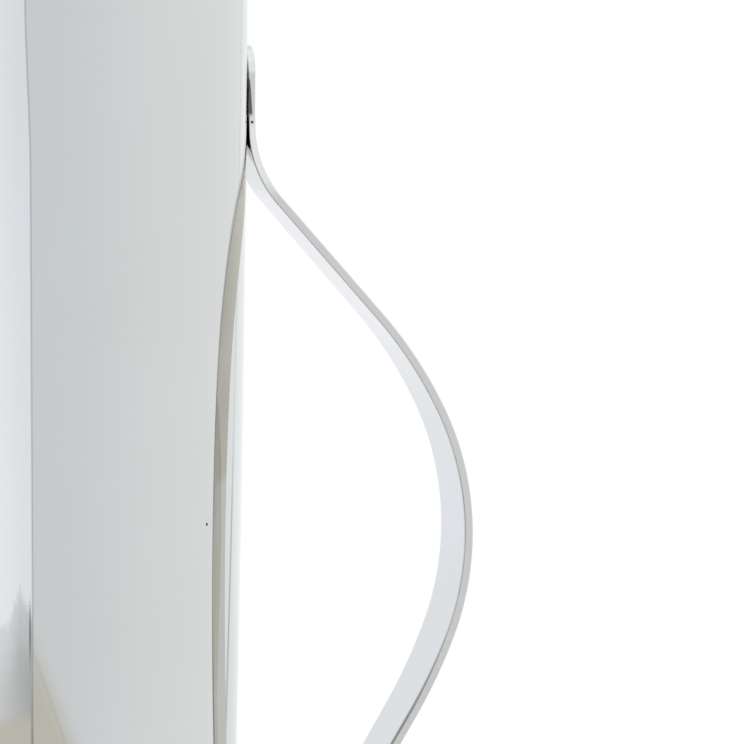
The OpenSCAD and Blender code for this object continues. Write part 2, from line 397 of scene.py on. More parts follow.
def unit_grid(tree, columns, rows):
    """A flat grid, and the shares of the way along its columns and along its rows."""
    grid = add_node(tree, "GeometryNodeMeshGrid",
                    {"Size X": 1.0, "Size Y": 1.0, "Vertices X": columns, "Vertices Y": rows})
    x, y, _ = parts_of(tree, position_of(tree))
    return grid.outputs["Mesh"], x + 0.5, y + 0.5


def mark_edge(shape, value):
    """Stores how worn each point of a shape is."""
    marked = add_node(shape.id_data, "GeometryNodeStoreNamedAttribute",
                      {"Geometry": shape, "Name": "edge", "Value": value})
    return marked.outputs[0]


def bend_and_close(shape, spot):
    """Moves each point of a shape to its spot, and closes the seams that meet."""
    tree = shape.id_data
    bent = add_node(tree, "GeometryNodeSetPosition", {"Geometry": shape, "Position": spot})
    closed = add_node(tree, "GeometryNodeMergeByDistance",
                      {"Geometry": bent.outputs[0], "Distance": MERGE_GAP})
    return closed.outputs[0]


def end_tree(shape, material, output):
    """Ends a shape's tree: plain geometry, shaded smooth, with its material."""
    tree = output.id_data
    smooth = add_node(tree, "GeometryNodeSetShadeSmooth", {"Geometry": shape})
    whole = add_node(tree, "GeometryNodeRealizeInstances", {"Geometry": smooth.outputs[0]})
    dressed = add_node(tree, "GeometryNodeSetMaterial",
                       {"Geometry": whole.outputs[0], "Material": material})
    plug(dressed.outputs[0], output.inputs["Geometry"])


def made_by(tree, source, values):
    """Runs a tree on an object, and keeps the result as its plain mesh."""
    modifier = source.modifiers.new(tree.name, "NODES")
    modifier.node_group = tree
    for item in tree.interface.items_tree:
        if item.in_out == "INPUT" and item.name in values:
            modifier[item.identifier] = values[item.name]
    keep_result(source)
    return source


# Finish of the steel: grain sizes per metre, where patches start and end, and tones

HAZE_SCALE = 70.0
HAZE_SPAN = (0.32, 0.68)
TINT_SCALE = 24.0
TINT_SPAN = (0.35, 0.65)
GRIT_SCALE = 900.0
GRIT_SPAN = (0.25, 0.6)
PIT_SPAN = (1.0, 0.6)
STEEL_COOL = (0.752, 0.745, 0.722, 1)
STEEL_WARM = (0.745, 0.735, 0.706, 1)
STRAP_COOL = (0.752, 0.742, 0.705, 1)
STRAP_WARM = (0.745, 0.732, 0.69, 1)
STEEL_GROUND = (0.752, 0.713, 0.684, 1)
# Near-black painted shade of a pit
PIT_PAINTED_SHADE = (0.05, 0.05, 0.05, 1)
# Painted dark reflection, standing for a dark crevice mirrored in the filed relief and the inner corner,
# and the roughness there
PAINTED_DARK_REFLECTION = (0.262, 0.252, 0.25, 1)
FILED_ROUGH = 0.45
# Satin of the sheet's inner face
SATIN_TONE = (0.68, 0.67, 0.65, 1)
SATIN_ROUGH = 0.38
SATIN_METAL = 0.75


# Effects that the materials share

def haze_group():
    """Cloudy change of the polish, from a low roughness to a high one."""
    tree, value, output = new_tree(
        "Buffed haze", "ShaderNodeTree",
        {"Vector": "Vector", "Scale": "Float", "Low": "Float", "High": "Float"},
        {"Roughness": "Float"})
    patch = fade(noise(tree, value["Vector"], value["Scale"], detail=5.0, rough=0.6), *HAZE_SPAN)
    plug(between(patch, value["Low"], value["High"]), output.inputs["Roughness"])
    return tree


def lines_group():
    """Fine lines left by polishing, drawn out along one way of the vector."""
    tree, value, output = new_tree(
        "Polishing lines", "ShaderNodeTree", {"Vector": "Vector"}, {"Height": "Float"})
    plug(noise(tree, value["Vector"], 1.0, detail=4.0, rough=0.7), output.inputs["Height"])
    return tree


def tint_group():
    """Colour of the bare metal, a little warmer in broad patches."""
    tree, value, output = new_tree(
        "Steel tint", "ShaderNodeTree",
        {"Vector": "Vector", "Scale": "Float", "Cool": "Color", "Warm": "Color"},
        {"Color": "Color"})
    patch = fade(noise(tree, value["Vector"], value["Scale"], detail=3.0), *TINT_SPAN)
    plug(mix_colour(tree, patch, value["Cool"], value["Warm"]), output.inputs["Color"])
    return tree


def wear_group():
    """Ground or worn edges, broken up by a fine noise."""
    tree, value, output = new_tree(
        "Edge wear", "ShaderNodeTree",
        {"Vector": "Vector", "Scale": "Float", "Edge": "Float", "Polished": "Float", "Worn": "Float"},
        {"Roughness": "Float", "Mask": "Float"})
    grit = fade(noise(tree, value["Vector"], value["Scale"], detail=3.0), *GRIT_SPAN)
    mask = value["Edge"] * grit
    plug(mask, output.inputs["Mask"])
    plug(between(mask, value["Polished"], value["Worn"]), output.inputs["Roughness"])
    return tree


def pit_group():
    """A small round painted shade at one place, where a pit is."""
    tree, value, output = new_tree(
        "Pit", "ShaderNodeTree",
        {"Vector": "Vector", "Place": "Vector", "Radius": "Float", "Color": "Color", "Dark": "Color"},
        {"Color": "Color"})
    away = add_node(tree, "ShaderNodeVectorMath", {0: value["Vector"], 1: value["Place"]},
                    operation="DISTANCE")
    inside = fade(Field(away.outputs["Value"]) / value["Radius"], *PIT_SPAN)
    plug(mix_colour(tree, inside, value["Color"], value["Dark"]), output.inputs["Color"])
    return tree


HAZE = haze_group()
LINES = lines_group()
TINT = tint_group()
WEAR = wear_group()
PIT = pit_group()


def placed_group(tree, group, inputs):
    return add_node(tree, "ShaderNodeGroup", inputs, node_tree=group).outputs


def mask_of(tree, name):
    return Field(add_node(tree, "ShaderNodeAttribute", attribute_name=name).outputs["Fac"])


def steel(name, polish, lines, worn, tints=(STEEL_COOL, STEEL_WARM),
          pit=None, uv=None, filed_painted_reflection=None, satin=None):
    """A polished steel, from the range of its roughness, its lines and the roughness of its edges.

    A pit is a place and a radius, drawn as a painted shade. The lines follow the map that uv names. filed
    names the mask of a painted dark reflection, and satin the mask of the satin inner face.
    """
    material = bpy.data.materials.new(name)
    material.use_nodes = True
    tree = material.node_tree
    shader = tree.nodes["Principled BSDF"]
    place = tree.nodes.new("ShaderNodeTexCoord").outputs["Object"]
    line_place = add_node(tree, "ShaderNodeUVMap", uv_map=uv).outputs["UV"] if uv else place
    stretched = add_node(tree, "ShaderNodeMapping", {"Vector": line_place, "Scale": lines["stretch"]})
    marks = placed_group(tree, LINES, {"Vector": stretched.outputs["Vector"]})
    haze = placed_group(tree, HAZE, {"Vector": place, "Scale": HAZE_SCALE,
                                     "Low": polish[0], "High": polish[1]})
    wear = placed_group(tree, WEAR, {"Vector": place, "Scale": GRIT_SCALE, "Edge": mask_of(tree, "edge"),
                                     "Polished": haze["Roughness"], "Worn": worn})
    tint = placed_group(tree, TINT, {"Vector": place, "Scale": TINT_SCALE,
                                     "Cool": tints[0], "Warm": tints[1]})
    colour = mix_colour(tree, wear["Mask"], tint["Color"], STEEL_GROUND)
    rough = Field(wear["Roughness"])
    metal = 1.0
    # Painted dark reflection on the filed relief and along the inner corner
    if filed_painted_reflection:
        painted_reflection = mask_of(tree, filed_painted_reflection)
        colour = mix_colour(tree, painted_reflection, colour, PAINTED_DARK_REFLECTION)
        rough = between(painted_reflection, rough, FILED_ROUGH)
    if satin:
        inner = mask_of(tree, satin)
        colour = mix_colour(tree, inner, colour, SATIN_TONE)
        rough = between(inner, rough, SATIN_ROUGH)
        metal = between(inner, 1.0, SATIN_METAL)
    # Painted shade of a pit darkens the colour
    if pit:
        colour = placed_group(tree, PIT, {"Vector": place, "Place": pit[0], "Radius": pit[1],
                                          "Color": colour, "Dark": PIT_PAINTED_SHADE})["Color"]
    relief = add_node(tree, "ShaderNodeBump", {"Height": marks["Height"], "Distance": lines["depth"]})
    plug(colour, shader.inputs["Base Color"])
    plug(rough, shader.inputs["Roughness"])
    plug(metal, shader.inputs["Metallic"])
    plug(relief.outputs["Normal"], shader.inputs["Normal"])
    return material


# Camera of the photograph: its turn round the ewer, its height angle and its middle

CAMERA_TURN = math.radians(-12.91)
CAMERA_RISE = math.radians(5.52)
CAMERA_AWAY = 1.5
CAMERA_LENS = 365.45
CAMERA_SENSOR = 36
CAMERA_REACH = 100
VIEW_MIDDLE_SIDE = 0.06649
VIEW_MIDDLE_Z = 0.188

camera_right = Vector((math.cos(CAMERA_TURN), math.sin(CAMERA_TURN), 0))
camera_front = Vector((math.sin(CAMERA_TURN), -math.cos(CAMERA_TURN), 0))
camera_back = camera_front * math.cos(CAMERA_RISE) + Vector((0, 0, math.sin(CAMERA_RISE)))


def make_camera():
    data = bpy.data.cameras.new("camera")
    data.lens = CAMERA_LENS
    data.sensor_width = CAMERA_SENSOR
    data.clip_end = CAMERA_REACH
    camera = bpy.data.objects.new("camera", data)
    scene.collection.objects.link(camera)
    middle = camera_right * VIEW_MIDDLE_SIDE + Vector((0, 0, VIEW_MIDDLE_Z))
    camera.location = middle + camera_back * CAMERA_AWAY
    camera.rotation_mode = "QUATERNION"
    camera.rotation_quaternion = (-camera_back).to_track_quat("-Z", "Y")
    scene.camera = camera


# Wall: the main piece, a sheet round the axis that stops at the spout's seam

def wall_tree():
    tree, size, output = new_tree(
        "Wall sheet", "GeometryNodeTree",
        {"Foot height": "Float", "Seam foot": "Float", "Rim height": "Float", "Full height": "Float",
         "Base radius": "Float", "Mouth radius": "Float", "Swell": "Float", "Seam radius": "Float",
         "Seam slope": "Float", "Columns": "Int", "Low rows": "Int", "Seam rows": "Int",
         "Crowding": "Float", "Solder line": "Float", "Material": "Material"},
        {"Geometry": "Geometry"})
    rows = size["Low rows"] + size["Seam rows"]
    grid, round_share, row_share = unit_grid(tree, size["Columns"], rows)
    row = row_share * (rows - 1)
    low_share = work_out("MINIMUM", row / size["Low rows"], 1.0)
    seam_share = work_out("MAXIMUM", (row - size["Low rows"]) / (size["Seam rows"] - 1), 0.0)
    z = between(low_share * (2 - low_share), size["Foot height"], size["Seam foot"])
    z = z + (size["Rim height"] - size["Seam foot"]) * seam_share * seam_share
    up = z / size["Full height"]
    radius = between(up, size["Base radius"], size["Mouth radius"]) + 4 * size["Swell"] * up * (1 - up)
    plane = size["Seam radius"] - (z - size["Seam foot"]) * size["Seam slope"]
    seam = work_out("ARCCOSINE", work_out("MINIMUM", plane / radius, 1.0))
    crowded = round_share - size["Crowding"] * work_out("SINE", round_share * math.tau) / math.tau
    turn = between(crowded, seam, math.tau - seam)
    from_seam = work_out("MINIMUM", turn - seam, math.tau - seam - turn) * radius
    line = fade(from_seam, size["Solder line"], 0.0) * fade(seam_share, 0.0, SOLDER_START_SHARE)
    spot = vector_of(tree, 0 - radius * work_out("COSINE", turn), 0 - radius * work_out("SINE", turn), z)
    end_tree(bend_and_close(mark_edge(grid, line), spot), size["Material"], output)
    return tree


def make_wall(material):
    wall = made_by(wall_tree(), new_object("wall_sheet", []), {
        "Foot height": FOOT_H, "Seam foot": SEAM_Z, "Rim height": RIM_Z, "Full height": EWER_H,
        "Base radius": BASE_R, "Mouth radius": MOUTH_R, "Swell": WALL_SWELL,
        "Seam radius": SEAM_FOOT_R, "Seam slope": SEAM_SLOPE, "Columns": WALL_COLUMNS,
        "Low rows": WALL_LOW_ROWS, "Seam rows": SPOUT_ROWS, "Crowding": WALL_END_CROWDING,
        "Solder line": SOLDER_LINE_W, "Material": material})
    face_outwards(wall)
    thicken(wall, SHEET_T)
    return wall


# Spout: fills the cut in the wall, and is one with it along the seam

def make_spout(material):
    rise = np.linspace(0, 1, SPOUT_ROWS)[:, None] ** 2
    side = np.linspace(-1, 1, SPOUT_COLUMNS)[None, :]
    z = SEAM_Z + (spout_top(side * SPOUT_ANGLE) - SEAM_Z) * rise
    turn = seam_angle(z) * side
    points = around(spout_r(turn, z), turn, z).reshape(-1, 3)
    spout = new_object("beak_spout", points, grid_faces(SPOUT_ROWS, SPOUT_COLUMNS))
    from_seam = (1 - np.abs(side)) * seam_angle(z) * wall_r(z)
    add_mask(spout, "edge", np.clip(1 - from_seam / SOLDER_LINE_W, 0, 1).ravel())
    finish_mesh(spout, material)
    face_outwards(spout)
    thicken(spout, SHEET_T)
    return spout


# Rim wire: a half-round section swept along the top of the sheet

def rim_line():
    """Middle of the sheet's top edge, all the way round from the beak."""
    ahead = np.linspace(-SPOUT_ANGLE, SPOUT_ANGLE, RIM_BEAK_STEPS, endpoint=False)
    behind = np.linspace(SPOUT_ANGLE, math.tau - SPOUT_ANGLE, RIM_BACK_STEPS, endpoint=False)
    turn = np.concatenate([ahead, behind])
    turn = np.where(turn > math.pi, turn - math.tau, turn)
    z = spout_top(turn)
    r = spout_r(turn, z)
    turn_slope = (spout_r(turn + PROBE_ANGLE, z) - spout_r(turn - PROBE_ANGLE, z)) / (2 * PROBE_ANGLE) / r
    up_slope = (spout_r(turn, z + PROBE_UP) - spout_r(turn, z - PROBE_UP)) / (2 * PROBE_UP)
    inset = SHEET_T / 2 * np.sqrt(1 + turn_slope ** 2 + up_slope ** 2)
    return around(r - inset, turn, z + SOLDER_GAP)


def rim_tree():
    tree, size, output = new_tree(
        "Half-round wire", "GeometryNodeTree",
        {"Geometry": "Geometry", "Width": "Float", "Height": "Float", "Steps": "Int",
         "Material": "Material"},
        {"Geometry": "Geometry"})
    line = add_node(tree, "GeometryNodeMeshToCurve", {"Mesh": size["Geometry"]})
    upright = add_node(tree, "GeometryNodeSetCurveNormal", {"Curve": line.outputs[0]}, mode="Z_UP")
    circle = add_node(tree, "GeometryNodeCurvePrimitiveCircle",
                      {"Resolution": size["Steps"], "Radius": 1.0})
    x, y, _ = parts_of(tree, position_of(tree))
    lift = work_out("MAXIMUM", y, 0.0)
    spot = vector_of(tree, x * size["Width"] * 0.5, lift * size["Height"] * -1)
    section = add_node(tree, "GeometryNodeSetPosition", {"Geometry": circle.outputs[0], "Position": spot})
    wire = add_node(tree, "GeometryNodeCurveToMesh",
                    {"Curve": upright.outputs[0], "Profile Curve": mark_edge(section.outputs[0], lift)})
    end_tree(wire.outputs[0], size["Material"], output)
    return tree


def make_rim(material):
    line = rim_line()
    count = len(line)
    ring = [(i, (i + 1) % count) for i in range(count)]
    rim = made_by(rim_tree(), new_object("rim_bead", line, edges=ring), {
        "Width": RIM_W, "Height": RIM_T, "Steps": RIM_SECTION_STEPS, "Material": material})
    finish_mesh(rim)
    return rim


# Turned pieces: an outline carried round the axis

def turned_tree():
    tree, size, output = new_tree(
        "Turned outline", "GeometryNodeTree",
        {"Geometry": "Geometry", "Points": "Int", "Segments": "Int", "Material": "Material"},
        {"Geometry": "Geometry"})
    grid, round_share, row_share = unit_grid(tree, size["Segments"] + 1, size["Points"] + 1)
    row = work_out("ROUND", row_share * size["Points"])
    index = work_out("MODULO", row, size["Points"])
    outline = add_node(tree, "GeometryNodeSampleIndex",
                       {"Geometry": size["Geometry"], "Value": position_of(tree), "Index": index},
                       data_type="FLOAT_VECTOR")
    edge = add_node(tree, "GeometryNodeInputNamedAttribute", {"Name": "edge"}, data_type="FLOAT")
    worn = add_node(tree, "GeometryNodeSampleIndex",
                    {"Geometry": size["Geometry"], "Value": edge.outputs[0], "Index": index},
                    data_type="FLOAT")
    radius, _, height = parts_of(tree, outline.outputs["Value"])
    turn = round_share * math.tau
    spot = vector_of(tree, radius * work_out("COSINE", turn), radius * work_out("SINE", turn), height)
    end_tree(bend_and_close(mark_edge(grid, worn.outputs[0]), spot), size["Material"], output)
    return tree


TURNED = turned_tree()


def outline_object(name, outline, worn=()):
    """An outline of radius and height, marked where its edges wear."""
    source = new_object(name, [(r, 0, z) for r, z in outline])
    add_mask(source, "edge", [1.0 if i in worn else 0.0 for i in range(len(outline))])
    return source


def make_turned(name, outline, material, worn=()):
    piece = made_by(TURNED, outline_object(name, outline, worn), {
        "Points": len(outline), "Segments": TURNED_SEGMENTS, "Material": material})
    finish_mesh(piece)
    return piece


COLLAR_R = wall_r(FOOT_H) - SHEET_T - SOLDER_GAP
FOOT_R = wall_r(FOOT_H) + FOOT_STEP
FOOT_IN_R = COLLAR_R - FOOT_W
BASE_Z = FOOT_H + COLLAR_H
BASE_DISC_R = wall_r(BASE_Z) - SHEET_T - SOLDER_GAP
DISH_R = BASE_DISC_R - BASE_BRIM


def make_foot(material):
    edge = TURNED_EDGE_R
    outline = arc((FOOT_IN_R + edge, edge), edge, 180, 270)
    outline += arc((FOOT_R - FOOT_STEP, FOOT_STEP), FOOT_STEP, -90, 0)
    outline += arc((FOOT_R - FOOT_STEP, FOOT_H - FOOT_STEP), FOOT_STEP, 0, 90)
    outline += [(COLLAR_R, FOOT_H)]
    outline += arc((COLLAR_R - edge, BASE_Z - edge), edge, 0, 90)
    outline += arc((FOOT_IN_R + edge, BASE_Z - edge), edge, 90, 180)
    worn = range(ARC_STEPS + 2, 3 * ARC_STEPS)
    return make_turned("turned_foot", outline, material, worn)


def make_base(material):
    share = np.linspace(0, 1, DISH_STEPS + 1)
    dish = [(DISH_R * s, BASE_Z + BASE_DISH * (1 - s * s)) for s in share]
    edge = TURNED_EDGE_R
    outline = dish + arc((BASE_DISC_R - edge, BASE_Z + edge), edge, -90, 0)
    outline += arc((BASE_DISC_R - edge, BASE_Z + BASE_T - edge), edge, 0, 90)
    outline += [(r, z + BASE_T) for r, z in reversed(dish)]
    return make_turned("spun_base", outline, material)


# Rivets: flush outside the strap, domed inside the wall

def rivet_tree():
    tree, size, output = new_tree(
        "Rivet pair", "GeometryNodeTree",
        {"Geometry": "Geometry", "Points": "Int", "Segments": "Int", "Pitch": "Float",
         "Place": "Vector", "Lean": "Float", "Material": "Material"},
        {"Geometry": "Geometry"})
    shared = ("Geometry", "Points", "Segments", "Material")
    rivet = add_node(tree, "GeometryNodeGroup", {name: size[name] for name in shared}, node_tree=TURNED)
    line = add_node(tree, "GeometryNodeMeshLine",
                    {"Count": 2, "Start Location": vector_of(tree, z=size["Pitch"] * -0.5),
                     "Offset": vector_of(tree, z=size["Pitch"])})
    pair = add_node(tree, "GeometryNodeInstanceOnPoints",
                    {"Points": line.outputs[0], "Instance": rivet.outputs[0],
                     "Rotation": (0, math.pi / 2, 0)})
    seated = add_node(tree, "GeometryNodeTransform",
                      {"Geometry": pair.outputs[0], "Translation": size["Place"],
                       "Rotation": vector_of(tree, y=size["Lean"])})
    end_tree(seated.outputs[0], size["Material"], output)
    return tree


RIVETS = rivet_tree()


def rivet_outline(z):
    """From the dome inside the wall to the flush head, where 0 is the wall's outer face."""
    inside = wall_r(z) - SHEET_T
    seat = math.sqrt(inside ** 2 - HEAD_D ** 2 / 4) - wall_r(z) - SEAT_GAP
    ball_r = (HEAD_D ** 2 / 4 + HEAD_H ** 2) / (2 * HEAD_H)
    half = math.degrees(math.asin(HEAD_D / 2 / ball_r))
    top = SEAT_GAP + STRAP_END_T
    sink_r = SHANK_D / 2 + SINK_DEPTH
    outline = arc((0, seat - HEAD_H + ball_r), ball_r, -90, -90 + half, 2 * ARC_STEPS)
    outline += [(SHANK_D / 2, seat), (SHANK_D / 2, top - SINK_DEPTH), (sink_r, top - RIVET_BEVEL)]
    outline += [(sink_r, top), (sink_r - RIVET_BEVEL, top + RIVET_PROUD), (0, top + RIVET_PROUD)]
    return outline


def make_rivets(name, z, material):
    outline = rivet_outline(z)
    worn = range(len(outline) - 3, len(outline) - 1)
    rivets = made_by(RIVETS, outline_object(name, outline, worn), {
        "Points": len(outline), "Segments": RIVET_SEGMENTS, "Pitch": RIVET_PITCH,
        "Place": (wall_r(z), 0, z), "Lean": wall_lean(z), "Material": material})
    finish_mesh(rivets)
    return rivets


# Handle strap: a leaf-shaped strip, bent in the plane of the handle.
# A heading is the angle from straight down, positive away from the wall.

strap_low, strap_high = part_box("handle_strap")
STRAP_TOP = strap_high.z
STRAP_BOTTOM = strap_low.z
UPPER_TAB_Z = STRAP_TOP - TAB_L / 2
LOWER_TAB_Z = STRAP_BOTTOM + TAB_L / 2
WIDE_Z = STRAP_TOP - TAB_SIDE_L - NECK_L - STRAP_WIDE_DROP


def along(heading):
    return np.array([math.sin(heading), -math.cos(heading)])


def out_of(heading):
    return np.array([math.cos(heading), math.sin(heading)])


def bend_move(start, end, radius):
    return (out_of(start) - out_of(end)) * radius * (1 if end > start else -1)


def strap_legs():
    """Each leg is a straight run, then a bend to a heading, with the thickness at its end."""
    upper = -wall_lean(UPPER_TAB_Z)
    lower = -wall_lean(LOWER_TAB_Z)
    legs = [[TAB_L, UPPER_ANGLE, BEND_R, STRAP_T],
            [UPPER_RUN, SHOULDER_ANGLE, SHOULDER_R, STRAP_T],
            [0, -HEEL_ANGLE, CROWN_R, STRAP_T],
            [0, -LOWER_ANGLE, HEEL_R, STRAP_T],
            [0, lower, BEND_R, STRAP_END_T]]
    tab_middle = np.array([wall_r(UPPER_TAB_Z), UPPER_TAB_Z]) + out_of(upper) * SEAT_GAP
    start = tab_middle - along(upper) * TAB_L / 2
    place, heading = start, upper
    for run, turned, radius, _ in legs:
        place = place + along(heading) * run + bend_move(heading, turned, radius)
        heading = turned
    lower_x = wall_r(LOWER_TAB_Z) + SEAT_GAP
    legs[-1][0] = (place[0] + along(lower)[0] * TAB_L / 2 - lower_x) / math.sin(LOWER_ANGLE)
    return start, upper, legs


def end_steps():
    """Distances from an end: round its edge, round its corners, and on along the tab."""
    quarter = np.linspace(0, math.pi / 2, CORNER_STEPS + 1)
    edge = STRAP_EDGE_R * (1 - np.cos(quarter))
    corner_angles = np.linspace(CORNER_START, math.pi / 2, 2 * CORNER_STEPS)
    corner = STRAP_CORNER_R * (1 - np.cos(corner_angles))
    corner = corner[corner > STRAP_EDGE_R]
    tab = np.arange(corner[-1] + STATION_STEP / 2, TAB_L, STATION_STEP / 2)
    return np.concatenate([edge, corner, tab])


def strap_stations():
    """Places down the strap: inner face, heading, thickness, way from the start and from an end."""
    start, heading, legs = strap_legs()
    stations = [(start + along(heading) * s, heading, STRAP_END_T, s, s) for s in end_steps()]
    place, thick, way = start, STRAP_END_T, 0
    for number, (run, turned, radius, next_thick) in enumerate(legs):
        if number > 0:
            for s in np.arange(STATION_STEP, run, STATION_STEP):
                stations.append((place + along(heading) * s, heading, thick, way + s, TAB_L))
        place = place + along(heading) * run
        way = way + run
        steps = math.ceil(abs(turned - heading) / STATION_ANGLE)
        for k in range(steps + 1):
            part = k / steps
            now = between(part, heading, turned)
            bent = place + bend_move(heading, now, radius)
            bent_way = way + abs(now - heading) * radius
            stations.append((bent, now, between(part, thick, next_thick), bent_way, TAB_L))
        place = place + bend_move(heading, turned, radius)
        way = way + abs(turned - heading) * radius
        heading, thick = turned, next_thick
    for s in reversed(end_steps()):
        stations.append((place + along(heading) * (TAB_L - s), heading, thick, way + TAB_L - s, s))
    return stations


def strap_half(z, from_end):
    """Half the strap's width: its flanks, drawn in to the tabs, less the round of the ends."""
    far = (WIDE_Z - z) / STRAP_WIDE_DROP
    straight = FLANK_STRAIGHT_SHARE
    drop = far * far if far < straight else 2 * straight * far - straight * straight
    flank = (STRAP_W - (STRAP_W - STRAP_NECK_W) * drop) / 2
    neck = np.clip((min(STRAP_TOP - z, z - STRAP_BOTTOM) - TAB_SIDE_L) / NECK_L, 0, 1)
    half = between(neck * neck * (3 - 2 * neck), TAB_W / 2, flank)
    short = STRAP_CORNER_R - min(from_end, STRAP_CORNER_R)
    return half - STRAP_CORNER_R + math.sqrt(STRAP_CORNER_R ** 2 - short ** 2)


def near_corner(z, from_end):
    """Size of the inner corner on the relief's side, how strong its painted dark reflection is, and
    whether the relief is there.
    """
    if RELIEF_FOOT_Z - RELIEF_STEP <= z <= RELIEF_TOP_Z:
        share = (RELIEF_TOP_Z - z) / (RELIEF_TOP_Z - RELIEF_FOOT_Z)
        return between(min(share, 1), STRAP_EDGE_R, RELIEF_W), PAINTED_CORNER_REFLECTION[0], True
    buffed = np.clip((BUFFED_TOP_Z - z) / (BUFFED_TOP_Z - BUFFED_FOOT_Z), 0, 1)
    buffed = buffed * min(from_end / TAB_L, 1)
    return between(buffed, STRAP_EDGE_R, BUFFED_R), between(buffed, *PAINTED_CORNER_REFLECTION), False


def strap_ring(z, thick, from_end):
    """Section of the strap, across (y) and out from the inner face (n), with its edge mask and the mask of
    its painted dark reflection.
    """
    edge = STRAP_EDGE_R
    inset = edge - math.sqrt(edge ** 2 - (edge - min(from_end, edge)) ** 2)
    half = strap_half(z, from_end) - inset
    low, high = inset, thick - inset
    flat = half - edge
    near, corner_reflection, filed_painted_reflection = near_corner(z, from_end)
    corner = CORNER_STEPS
    ring = [(between(s, near - half, flat), low) for s in FACE_SHARES]
    marks = [0.0] * len(FACE_SHARES)
    far_side = arc((flat, low + edge), edge, -90, 0, corner)
    far_side += [(half, between(s, low + edge, high - edge)) for s in SIDE_SHARES]
    far_side += arc((flat, high - edge), edge, 0, 90, corner)
    ring += far_side
    marks += [1.0] * len(far_side)
    ring += [(between(s, flat, -flat), high) for s in FACE_SHARES]
    marks += [0.0] * len(FACE_SHARES)
    near_side = arc((-flat, high - edge), edge, 90, 180, corner)
    near_side += [(-half, between(s, high - edge, low + near)) for s in SIDE_SHARES]
    if filed_painted_reflection:
        near_side += [(near * s - half, low + near * (1 - s)) for s in RELIEF_SHARES]
    else:
        near_side += arc((near - half, low + near), near, 180, 270, corner)
    ring += near_side
    marks += [1.0] * len(near_side)
    # Painted dark reflection: full on the filed relief, and rising across the inner corner elsewhere
    painted_reflection = [corner_reflection] + [0.0] * (len(ring) - corner - 2)
    if filed_painted_reflection:
        painted_reflection += [1.0 if z > RELIEF_FOOT_Z + RELIEF_STEP else 0.0] * (corner + 1)
    else:
        painted_reflection += list(np.linspace(0, corner_reflection, corner + 1))
    press = TIP_PRESS * max(1 - from_end / TIP_PRESS_L, 0) / (2 * wall_r(z))
    ring = [(y, n - press * y ** 2 * (high - n) / (high - low)) for y, n in ring]
    return ring, marks, painted_reflection


def make_strap(material):
    points, marks, painted_reflection, ways = [], [], [], []
    for place, heading, thick, way, from_end in strap_stations():
        ring, ring_marks, ring_shorn = strap_ring(place[1], thick, from_end)
        for y, n in ring:
            x, z = place + out_of(heading) * n
            points.append((x, y, z))
        marks += ring_marks
        painted_reflection += ring_shorn
        ways.append(way)
    size = len(ring)
    count = len(ways)
    faces = [(i * size + k, i * size + (k + 1) % size, (i + 1) * size + (k + 1) % size, (i + 1) * size + k)
             for i in range(count - 1) for k in range(size)]
    faces += [tuple(range(size)), tuple(range((count - 1) * size, count * size))]
    strap = new_object("strap_handle", points, faces)
    add_mask(strap, "edge", marks)
    add_mask(strap, "filed_painted_reflection", painted_reflection)
    girth = np.linspace(0, STRAP_W * 2, size + 1)
    lines = strap.data.uv_layers.new(name="strap_line")
    for face in strap.data.polygons:
        wraps = face.index % size == size - 1 and len(face.vertices) == 4
        for loop in face.loop_indices:
            station, k = divmod(strap.data.loops[loop].vertex_index, size)
            lines.data[loop].uv = (ways[station], girth[size] if wraps and k == 0 else girth[k])
    finish_mesh(strap, material)
    return strap


# Studio: a pale floor, and soft surroundings that the polished steel mirrors

FLOOR_R = 0.5
FLOOR_FADE_R = 0.34
FLOOR_GREY = 0.8
FLOOR_GLOW = 0.2
FLOOR_MIRRORED_LEFT = (0.17, 0.2, 0.08, 1)
FLOOR_MIRRORED_RIGHT = (0.8, 0.87, 0.78, 1)
FLOOR_MIRRORED_SPAN = (-0.045, 0.03)
FLOOR_DROP = 0.0001
FLOOR_RINGS = 24
FLOOR_SEGMENTS = 96
ROOM_LIGHT = 0.6
LAMP_POWER = 8
LAMP_SIZE = 0.8
LAMP_PLACE = (-0.45, -0.5, 1.3)

# Tones round the room, by the angle in degrees to the right of the way to the camera
ROOM_TONES = (
    (-180, (0.97, 0.99, 1.03)),
    (-170, (0.96, 0.98, 1.03)),
    (-162, (0.895, 0.93, 0.985)),
    (-154, (0.90, 0.942, 1.018)),
    (-134, (0.86, 0.885, 0.90)),
    (-120, (0.865, 0.89, 0.92)),
    (-100, (0.85, 0.87, 0.89)),
    (-84, (0.70, 0.68, 0.63)),
    (-76, (0.10, 0.095, 0.09)),
    (-38, (0.12, 0.11, 0.10)),
    (-28, (0.755, 0.795, 0.83)),
    (0, (0.755, 0.795, 0.83)),
    (24, (0.765, 0.81, 0.85)),
    (67, (0.84, 0.88, 0.91)),
    (117, (0.885, 0.92, 0.945)),
    (146, (0.90, 0.94, 0.97)),
    (149, (0.93, 0.965, 1.00)),
    (165, (0.96, 0.99, 1.02)),
    (180, (0.97, 0.99, 1.03)),
)
# The edge beside the camera: it bends away from upright, and darkens towards the table
EDGE = -0.6
EDGE_STEP = 0.15
EDGE_W = 0.85
EDGE_DARK = 0.32
EDGE_BEND_FOOT = -5.4
EDGE_BEND_TOP = -3.6
EDGE_BEND = 2.5
EDGE_FOOT_SIDE = -1.15
EDGE_FOOT_W = 1.2
EDGE_FOOT = (-10.5, -11.2)
EDGE_FOOT_DARK = 0.7
EDGE_BROWN = (0.16, 0.15, 0.12, 1)
